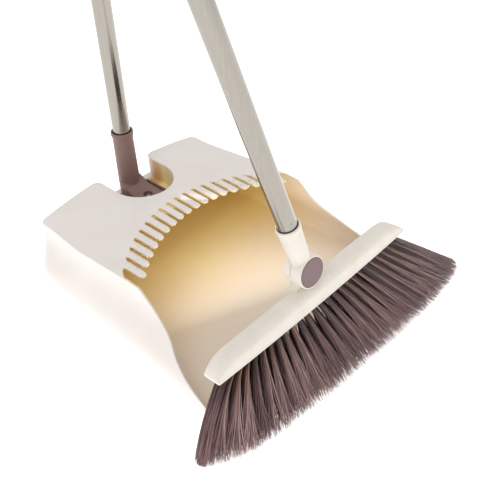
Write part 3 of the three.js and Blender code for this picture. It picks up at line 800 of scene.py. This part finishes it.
def cross_screw(name, head, height, shank, seat, point, matrix):
    top = seat + height
    profile = [(0, point), (shank * 0.5, point), (shank, point + 2), (shank, seat), (head, seat),
               (head, seat + height * 0.35), (head * 0.88, seat + height * 0.72),
               (head * 0.6, seat + height * 0.95), (0, top)]
    screw = lathe(name, round_profile(profile, 0.4, 3), matrix, SCREW, 48)
    arm = [(-head * 0.6, -0.45), (head * 0.6, -0.45), (head * 0.6, 0.45), (-head * 0.6, 0.45)]
    for angle in (0, 90):
        turn = matrix @ Matrix.Rotation(math.radians(angle + 20), 4, "Z")
        combine(screw, prism("arm", arm, top - 1.1, top + 1, "Z", turn, SCREW), "DIFFERENCE")
    smooth_by_angle(screw, 35)
    return screw


# ---------- handles ----------

POLE_Y = 260  # the pan's pole, in the frame the pan is drawn in
PAN_TUBE, BROOM_TUBE = 9.6, 8.8  # radii
PAN_SEAM, PAN_TOP = 430, 792  # heights along each pole of its joint and of its tube's end
BROOM_SEAM, BROOM_TOP = 395, 715

def tube_piece(name, radius, low, high, matrix, body, node, dimple=None):
    inner = radius - 0.8
    count = max(int((high - low) / (6 if dimple is None else 1.2)), 2)
    rise = [low + 0.5 + (high - low - 1) * i / count for i in range(count + 1)]
    profile = [(inner, low + 0.3), (inner + 0.2, low), (radius - 0.3, low), *[(radius, z) for z in rise],
               (radius - 0.3, high), (inner + 0.2, high), (inner, high - 0.3), (inner, low + 0.3)]
    obj = lathe(name, profile, Matrix.Identity(4), TUBE, 96)
    if dimple:
        angle, z = dimple
        spot = Vector((radius * math.cos(angle), radius * math.sin(angle), z))
        for v in obj.data.vertices:
            p = v.co / MM
            away = (p - spot).length
            if away < 3:
                sink = 0.8 * smooth(1 - away / 2.6)
                v.co -= Vector((math.cos(angle), math.sin(angle), 0)) * sink * MM
    shift = matrix.copy()
    shift.translation *= MM
    obj.data.transform(shift)
    return link_piece(obj, body, "polished_tube", node)


def grip_piece(name, tube_radius, tube_top, matrix, body, node):
    low, top, wide = tube_top - 100, tube_top + 10, tube_radius + 3.1
    profile = [(tube_radius + 0.3, low), (wide - 1.4, low), (wide - 0.4, low + 3)]
    for i in range(8):
        z = low + 14 + i * 10
        profile += [(wide - 0.1, z), (wide - 0.7, z + 2.6), (wide - 0.7, z + 3.6), (wide - 0.1, z + 6.2)]
    profile += [(wide - 0.6, top - 6), (wide - 3, top - 1.5), (0, top)]
    outer = round_profile(profile, 1.6)
    inside = [(0, tube_top + 0.4), (tube_radius + 0.3, tube_top + 0.4), (tube_radius + 0.3, low)]
    sleeve = lathe(name, outer + inside, matrix, MAUVE, 72)
    eye_outline = [(-11, top - 7), (11, top - 7), *arc(0, top + 11, 11, 11, 0, 180, 32)]
    hole = arc(0, top + 10.5, 6, 6, 0, 360, 40)[:-1]
    eye = prism("eye", eye_outline, -3.5, 3.5, "Y", matrix, MAUVE)
    combine(eye, prism("eye_hole", hole, -10, 10, "Y", matrix, MAUVE), "DIFFERENCE")
    rounded(eye, 1.4, 4)
    obj = join([sleeve, eye])
    smooth_by_angle(obj, 45)
    return link_piece(obj, body, "mauve_plastic", node)


def joiner_piece(name, radius, seam, matrix, body, node):
    bore = radius - 1.1
    profile = [(0, seam - 24), (bore - 0.8, seam - 24), (bore, seam - 22), (bore, seam),
               (radius + 0.3, seam), (radius + 0.5, seam + 1.5), (radius + 0.3, seam + 3),
               (bore, seam + 3), (bore, seam + 25), (bore - 0.8, seam + 27), (0, seam + 27)]
    obj = lathe(name, round_profile(profile, 0.4, 3), matrix, MAUVE, 72)
    return link_piece(obj, body, "mauve_plastic", node)


def clip_piece(matrix):
    low, high, jaw_y = 560, 582, -24.9
    ring = arc(0, 0, 12.4, 12.4, -66, 246, 60)
    jaw = arc(0, jaw_y, 11.7, 11.7, 66, -38, 30)
    jaw_in = arc(0, jaw_y, 9.0, 9.0, -38, 218, 60)
    jaw_left = arc(0, jaw_y, 11.7, 11.7, 218, 114, 30)
    lip = lambda s: [(s * 11.2, jaw_y - 8.6), (s * 10.6, jaw_y - 10.2), (s * 9.2, jaw_y - 9.6)]
    outline = [*ring, *jaw_left[::-1], *lip(-1), *jaw_in[::-1], *lip(1)[::-1], *jaw[::-1]]
    clip = prism("clip_body", outline, low, high, "Z", matrix, MAUVE)
    combine(clip, rod(9.9, low - 1, high + 1, matrix, 72), "DIFFERENCE")
    rounded(clip, 0.7, 3)
    clip.name = "broom_holding_clip"
    return link_piece(clip, "pan", "mauve_plastic", "broom_clip")


# ---------- broom socket, hub and head ----------

def along_y(matrix):
    """Turns a lathe's axis from Z to local Y."""
    return matrix @ Matrix.Rotation(math.radians(-90), 4, "X")


def build_socket():
    cone = lathe("socket_cone", round_profile(
        [(0, 0), (9.4, 0), (9.4, 14), (10.5, 48.6), (11.3, 50.2), (11.3, 52.4), (10.2, 53), (0, 53)], 0.7),
        BROOM, CREAM)
    combine(cone, rod(16.3, 2.6, 30, along_y(BROOM)), "DIFFERENCE")
    hub = lathe("socket_hub", round_profile([(0, -9.9), (15.6, -9.9), (15.6, 2.6), (0, 2.6)], 1.1),
                along_y(BROOM), CREAM)
    socket = moulded(join([cone, hub]), 0.4, 5)
    combine(socket, rod(9.25, 30, 58, BROOM), "DIFFERENCE")
    combine(socket, rod(9.7, 51.2, 58, BROOM), "DIFFERENCE")
    combine(socket, rod(5.4, 18, 31, BROOM), "DIFFERENCE")
    combine(socket, rod(14.3, -15, -7.9, along_y(BROOM)), "DIFFERENCE")
    combine(socket, rod(5.4, -8.9, -3.6, along_y(BROOM)), "DIFFERENCE")
    combine(socket, rod(2.1, -4.6, 20, along_y(BROOM)), "DIFFERENCE")
    smooth_by_angle(socket, 45)
    socket.name = "broom_socket_moulding"
    socket.data.materials.clear()
    socket.data.materials.append(HEAD_CREAM)
    link_piece(socket, "broom_handle", "cream_plastic", "broom_socket")
    dome = [(0, -8.2), (13.7, -8.2), (14.0, -8.5), (14.0, -9.3), (13.7, -9.8), (12.6, -10.1), (8, -10.35),
            (0, -10.5)]
    cap = lathe("hub_cover_disc", round_profile(dome, 0.5), along_y(BROOM), CAP, 96)
    link_piece(cap, "broom_handle", "mauve_plastic", "hub_cap")


BAR_MIDDLE, BAR_HALF = 4.3, 125  # the bar lies this far to one side of the hinge
TUFT_HALF = 116.5  # from the bar's middle to its last tuft


def head_bottom(x):
    return -37 - 2.4 * (1 - ((x - BAR_MIDDLE) / BAR_HALF) ** 2)


def build_head():
    end_drop = [(0, 12.4), (2, 9.9), (5, 6.9), (9, 4.0), (13, 2.0), (18, 0.7), (26, 0), (200, 0)]
    rings = []
    stations = [0, 0.4, 1.1, 2.2, 3.6, 5.4, 7.6, 10, 13, 16, 20, 25, 30, 36, 44, 54, 66, 80, 95, 110]
    places = [BAR_MIDDLE - BAR_HALF + s for s in stations] + [BAR_MIDDLE]
    places += [BAR_MIDDLE + BAR_HALF - s for s in reversed(stations)]
    for x in places:
        inward = BAR_HALF - abs(x - BAR_MIDDLE)
        top = -21.5 - float(np.interp(inward, *zip(*end_drop)))
        bottom = head_bottom(x)
        tuck = 0.5 * (1 - smooth(min(inward / 1.5, 1)))
        front, back = -8.6 + tuck, 10.6 - 0.4 * tuck
        height = top - bottom
        front_r, back_r = min(7.0, height * 0.5), min(3.0, height * 0.3)
        ring = [(back, bottom + 0.6), (back - 0.6, bottom), (front + 0.7, bottom)]
        ring += [(front - 0.1, bottom + 0.35), (front - 0.25, bottom + 1.1), (front - 0.1, bottom + 1.9)]
        ring += [(front + 0.25, bottom + 2.5), (front + 0.3, bottom + 3.2)]
        ring += [(front + 0.3 + front_r * (1 - math.sin(a)), top - front_r * (1 - math.cos(a)))
                 for a in np.linspace(math.pi / 2, 0, 10)]
        ring += [(back - back_r * (1 - math.sin(a)), top - back_r * (1 - math.cos(a)))
                 for a in np.linspace(0, math.pi / 2, 8)]
        rings.append([(x, y, max(z, bottom + 0.01 * i)) for i, (y, z) in enumerate(ring)])
    count = len(rings[0])
    verts = [v for ring in rings for v in ring]
    faces = [tuple(range(count)), tuple(range(len(verts) - 1, len(verts) - count - 1, -1))]
    for r in range(len(rings) - 1):
        faces += [(r * count + i, r * count + (i + 1) % count,
                   (r + 1) * count + (i + 1) % count, (r + 1) * count + i) for i in range(count)]
    bar = make("head_bar", verts, faces, HEAD, HEAD_CREAM)
    ear = lathe("head_ear", round_profile([(0, 3.3), (15.2, 3.3), (15.2, 10.6), (0, 10.6)], 0.9),
                along_y(HEAD), HEAD_CREAM)
    right = [(13.5, -24), (10.6, -22), (9.9, -19), (9.8, -15.3), (10.8, -11.5), (12.6, -8.6), (14, 0)]
    outline = [(-x, z) for x, z in right[::-1]] + right
    neck = prism("head_neck", outline, 3.3, 10.6, "Y", HEAD, HEAD_CREAM)
    ear = moulded(join([ear, neck]), 0.35, 4)
    head = combine(bar, ear, "UNION")
    slot = [(BAR_MIDDLE + x, z) for x, z in ((-117, -60), (117, -60), (117, -30), (-117, -30))]
    combine(head, prism("slot", slot, -6.4, 8.4, "Y", HEAD, HEAD_CREAM), "DIFFERENCE")
    combine(head, rod(2.0, 2, 9.3, along_y(HEAD)), "DIFFERENCE")
    smooth_by_angle(head, 50)
    head.name = "broom_head_bar"
    head.data.materials.clear()
    head.data.materials.append(HEAD_CREAM)
    return link_piece(head, "broom_head", "cream_plastic", "head_cover")


# ---------- bristles ----------

FAN_MIDDLE, FAN_HALF = 34, 187  # the tips fan further to one side of the hinge than to the other
BOARD_HALF = 6.5
FIBRE_RINGS = [0, 0.1, 0.22, 0.38, 0.56, 0.74, 0.88, 1.0]  # places along a fibre
FIBRE_SIDES = 3

def tip_height(x, y):
    """The head-frame height of the floor under a point."""
    origin, across, deep, up = (HEAD.translation.z, HEAD[2][0], HEAD[2][1], HEAD[2][2])
    return (1.2 - origin - across * x - deep * y) / up


def fan_path(u, w, along, tip_u, tip_w):
    """A point along a fibre: u and w are its place across the board and through it."""
    spread = along ** (0.92 + 0.12 * max(min(tip_u, 1), -1))
    outer = smooth((-tip_u - 0.78) / 0.2)
    width = (1 - min(abs(tip_u), 0.999) ** 2.4) ** (1 / 2.4)
    tip_x, tip_y = FAN_MIDDLE + FAN_HALF * tip_u, -2 + 27 * tip_w * width
    x = lerp(BAR_MIDDLE + TUFT_HALF * u, tip_x - 7 * outer, spread)
    y = lerp(1 + BOARD_HALF * w, tip_y, along)
    z = lerp(-39.2, tip_height(tip_x, tip_y) + 9 * outer, along)
    return Vector((x, y, z))


def bristle_piece(name, seed, w, per_tuft, columns=26):
    """One row of tufts: each fibre is a thin tapering rod from the board to its tip near the floor."""
    rng = random.Random(seed)
    points, sizes, tones_and_shades = [], [], []

    def strand(root_u, root_w, tip_u, tip_w, length, thick, tone_and_shade, middle):
        bow_x, bow_y = rng.gauss(0, 1.0), rng.gauss(0, 0.7)
        line = []
        for t in FIBRE_RINGS:
            p = fan_path(root_u, root_w, t * length, lerp(middle, tip_u, t ** 1.1), tip_w)
            swell = math.sin(math.pi * t)
            line.append((p.x + bow_x * swell, p.y + bow_y * swell, p.z))
        points.append(line)
        sizes.append(thick)
        tones_and_shades.append(min(max(tone_and_shade, 0), 1))

    for c in range(columns):
        u = ((c + 0.5) / columns * 2 - 1) * 0.995 + w * 4.9 / TUFT_HALF
        u = max(min(u, 0.985), -0.985)
        tuft_tint, tuft_lean = rng.gauss(0.52, 0.04), rng.gauss(0, 0.003)
        locks = []
        for k in range(5):
            angle = 2 * math.pi * (k + rng.random() * 0.5) / 5
            locks.append((0.58 * math.cos(angle), 0.58 * math.sin(angle), rng.gauss(0, 0.1)))
        for k in range(per_tuft):
            lock_u, lock_w, lock_tint = locks[k % 5]
            radius, angle = math.sqrt(rng.random()) * 0.46, rng.random() * 2 * math.pi
            du, dw = lock_u + radius * math.cos(angle), lock_w + radius * math.sin(angle)
            tip_u = u * 1.035 + (du * 1.3 + rng.uniform(-1.15, 1.15)) / columns
            tip_u += rng.gauss(tuft_lean, 0.006)
            if abs(tip_u) > 1:
                tip_u = math.copysign(1 - 0.02 * rng.random(), tip_u)
            tip_w = max(min(w * 0.93 + dw * 0.26 + rng.gauss(0, 0.07), 1), -1)
            length = 1 - abs(rng.gauss(0, 0.008))
            # random tone per tuft, lock and fibre, plus a painted highlight in each tuft's middle and
            # painted shade towards its edges and on one face
            tone_and_shade = rng.gauss(tuft_tint + lock_tint, 0.15) - 0.42 * du ** 2 - 0.14 * dw + 0.14
            strand(u + du * 2.1 / TUFT_HALF, w + dw * 2.1 / BOARD_HALF, tip_u, tip_w, length,
                   rng.uniform(0.26, 0.42), tone_and_shade, max(min(u * 1.035, 0.99), -0.99))
    # filler strands at the right end, toned darker as painted shade inside the fan
    for k in range(200):
        u = rng.uniform(0.5, 0.96)
        strand(u, w + rng.uniform(-0.2, 0.2), u, max(min(w + rng.gauss(0, 0.15), 1), -1),
               1 - 0.02 * rng.random(), rng.uniform(0.3, 0.42), rng.gauss(0.3, 0.1), u)

    lines = np.array(points)
    shrink = np.array([1.15 - 0.25 * t for t in FIBRE_RINGS[:-1]] + [0.35])
    turns = np.random.default_rng(seed).random(len(lines)) * 6.28
    angles = turns[:, None] + np.arange(FIBRE_SIDES)[None, :] * 2.0944
    reach = np.array(sizes)[:, None] * shrink[None, :]
    verts = np.repeat(lines[:, :, None, :], FIBRE_SIDES, axis=2)
    verts[..., 0] += reach[:, :, None] * np.cos(angles)[:, None, :]
    verts[..., 1] += reach[:, :, None] * np.sin(angles)[:, None, :]
    turn = np.array(HEAD)
    verts = (verts.reshape(-1, 3) @ turn[:3, :3].T + turn[:3, 3]) * MM
    faces = []
    per = FIBRE_SIDES * len(FIBRE_RINGS)
    for base in range(0, len(verts), per):
        for i in range(0, per - FIBRE_SIDES, FIBRE_SIDES):
            for side in range(FIBRE_SIDES):
                a, b = base + i + side, base + i + (side + 1) % FIBRE_SIDES
                faces.append((a, b, b + FIBRE_SIDES, a + FIBRE_SIDES))
        faces.append((base + per - 3, base + per - 2, base + per - 1))
    mesh = bpy.data.meshes.new(name)
    mesh.from_pydata(verts.tolist(), [], faces)
    along = np.tile(np.repeat(FIBRE_RINGS, FIBRE_SIDES), len(lines))
    values = {"tone_and_shade": np.repeat(tones_and_shades, per), "along": along}
    for key, value in values.items():
        mesh.attributes.new(key, "FLOAT", "POINT").data.foreach_set("value", value.astype(np.float32))
    mesh.polygons.foreach_set("use_smooth", [True] * len(mesh.polygons))
    mesh.materials.append(FIBRE)
    obj = bpy.data.objects.new(name, mesh)
    scene.collection.objects.link(obj)
    return link_piece(obj, "broom_head", "bristle_fibre", "bristles")


# ---------- the object ----------

build_pan()
build_elbow()
pan_pole = PAN @ Matrix.Translation((0, POLE_Y, 0))
tube_piece("pan_pole_lower", PAN_TUBE, 98.8, PAN_SEAM - 0.3, pan_pole, "pan", "pan_lower_tube")
joiner_piece("pan_pole_joint", PAN_TUBE, PAN_SEAM, pan_pole, "pan", "pan_tube_joiner")
tube_piece("pan_pole_upper", PAN_TUBE, PAN_SEAM + 3.3, PAN_TOP, pan_pole, "pan", "pan_upper_tube")
clip_piece(pan_pole)
grip_piece("pan_handle_grip", PAN_TUBE, PAN_TOP, pan_pole, "pan", "pan_grip")
build_socket()
tube_piece("broom_pole_lower", BROOM_TUBE, 31.8, BROOM_SEAM - 0.3, BROOM, "broom_handle",
           "broom_lower_tube", (math.radians(-100), 61))
joiner_piece("broom_pole_joint", BROOM_TUBE, BROOM_SEAM, BROOM, "broom_handle", "broom_tube_joiner")
tube_piece("broom_pole_upper", BROOM_TUBE, BROOM_SEAM + 3.3, BROOM_TOP, BROOM, "broom_handle",
           "broom_upper_tube")
grip_piece("broom_handle_grip", BROOM_TUBE, BROOM_TOP, BROOM, "broom_handle", "broom_grip")
build_head()
for index, row in enumerate((-0.85, -0.3, 0.3, 0.85)):
    bristle_piece(f"bristle_row_{index + 1}", 11 + index, row, 96)


def node_look(name):
    """The material of a CAD node: the hidden pieces that no detailed piece replaces need one too."""
    if "screw" in name or "washer" in name:
        return SCREW
    return MAUVE if "plug" in name else HEAD_CREAM


for node_name, node in frame["nodes"].items():
    node.data.materials.clear()
    node.data.materials.append(node_look(node_name))

# ---------- stage, lights and camera ----------

floor_look = Nodes("studio_floor", Base_Color=(0.95, 0.95, 0.95, 1), Roughness=0.9,
                   Emission_Color=(1, 1, 1, 1), Emission_Strength=0.75)
FLOOR_HALF = 6 / MM
floor_corners = [(x * FLOOR_HALF, y * FLOOR_HALF, 0) for x, y in ((-1, -1), (1, -1), (1, 1), (-1, 1))]
floor = make("studio_floor", floor_corners, [(0, 1, 2, 3)], Matrix.Identity(4), floor_look.material)

world = bpy.data.worlds.new("studio")
scene.world = world
world.use_nodes = True
world.node_tree.nodes["Background"].inputs[0].default_value = (1, 1, 1, 1)
world.node_tree.nodes["Background"].inputs[1].default_value = 0.63
scene.view_settings.view_transform = "Standard"


def area_light(name, place, target, size, power, colour=(1, 1, 1), in_reflections=True):
    light = bpy.data.lights.new(name, "AREA")
    light.shape = "RECTANGLE"
    light.size, light.size_y = size
    light.energy = power
    light.color = colour
    obj = bpy.data.objects.new(name, light)
    obj.location = place
    obj.rotation_euler = (Vector(target) - Vector(place)).to_track_quat("-Z", "Y").to_euler()
    obj.visible_camera = False
    obj.visible_glossy = in_reflections
    scene.collection.objects.link(obj)


area_light("key", (-1.7, -0.6, 1.8), (0, 0, 0.1), (1.4, 1.4), 10.5)
area_light("side", (1.6, -0.8, 1.2), (0, 0, 0.1), (0.9, 1.6), 3.5)
area_light("top", (0.1, 0.4, 2.4), (0, 0, 0), (1.6, 1.6), 8)
# two weak fill lights stand in the pan's mouth
area_light("mouth", (-0.01, -0.075, 0.06), (0.07, 0.13, 0.066), (0.17, 0.05), 0.06, (1, 0.97, 0.88), False)
area_light("hood", (0.035, -0.03, 0.068), (0.055, -0.01, 0), (0.15, 0.08), 0.014, (1, 0.98, 0.92), False)

azimuth, elevation, roll = (math.radians(a) for a in (-46.0, 40.2, -2.1))
back = Vector((math.sin(azimuth) * math.cos(elevation), -math.cos(azimuth) * math.cos(elevation),
               math.sin(elevation)))
right = Vector((math.cos(azimuth), math.sin(azimuth), 0))
up = back.cross(right)
right, up = (right * math.cos(roll) + up * math.sin(roll), up * math.cos(roll) - right * math.sin(roll))
view = Matrix((right, up, back)).transposed().to_4x4()
view.translation = Vector((-419.0, -332.6 + pan_shift, 558.5)) * MM
camera_data = bpy.data.cameras.new("photo_view")
camera_data.lens, camera_data.sensor_width = 54, 36
camera = bpy.data.objects.new("photo_view", camera_data)
camera.matrix_world = view
scene.collection.objects.link(camera)
scene.camera = camera
